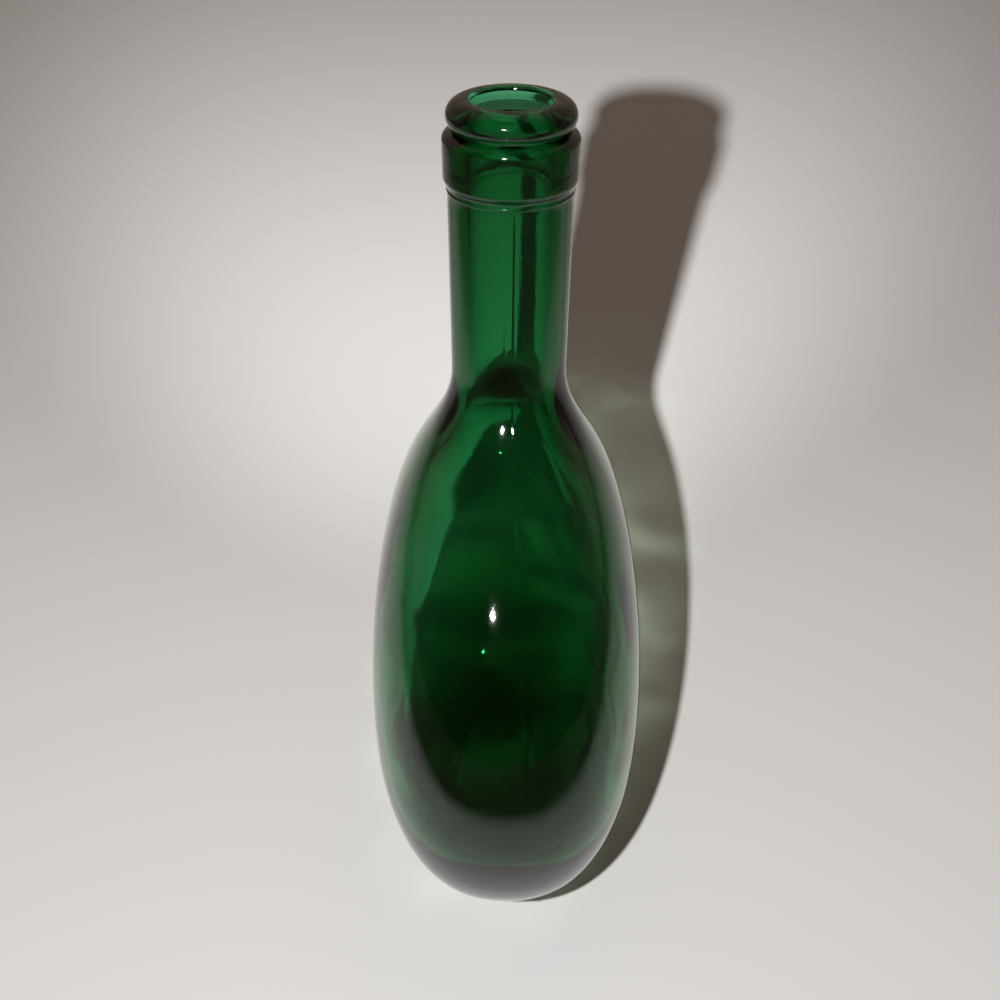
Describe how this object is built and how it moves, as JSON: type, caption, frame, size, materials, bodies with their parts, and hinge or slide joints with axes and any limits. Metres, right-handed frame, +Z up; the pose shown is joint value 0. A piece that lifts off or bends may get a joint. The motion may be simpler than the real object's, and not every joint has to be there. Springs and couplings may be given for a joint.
{
  "type": "bocksbeutel bottle",
  "caption": "Flat-sided, round-bellied wine bottle in dark green glass, with a straight neck, a banded cork mouth and an oval foot with a shallow push-up.",
  "frame": {"origin": "middle of the oval foot, on the surface the bottle stands on", "axes": "+Z up through the mouth, +X across the wide face, +Y through the flat faces, so the front face looks to -Y"},
  "size_m": [0.148, 0.0768, 0.222],
  "materials": {
    "green_glass": "moulded bottle glass, emerald green, fire-polished, slightly uneven inside"
  },
  "bodies": {
    "root": {"lip_ring": "green_glass", "collar": "green_glass", "neck": "green_glass", "shoulder_front": "green_glass", "shoulder_back": "green_glass", "body_front": "green_glass", "body_back": "green_glass", "heel_front": "green_glass", "heel_back": "green_glass", "base": "green_glass"}
  },
  "joints": []
}
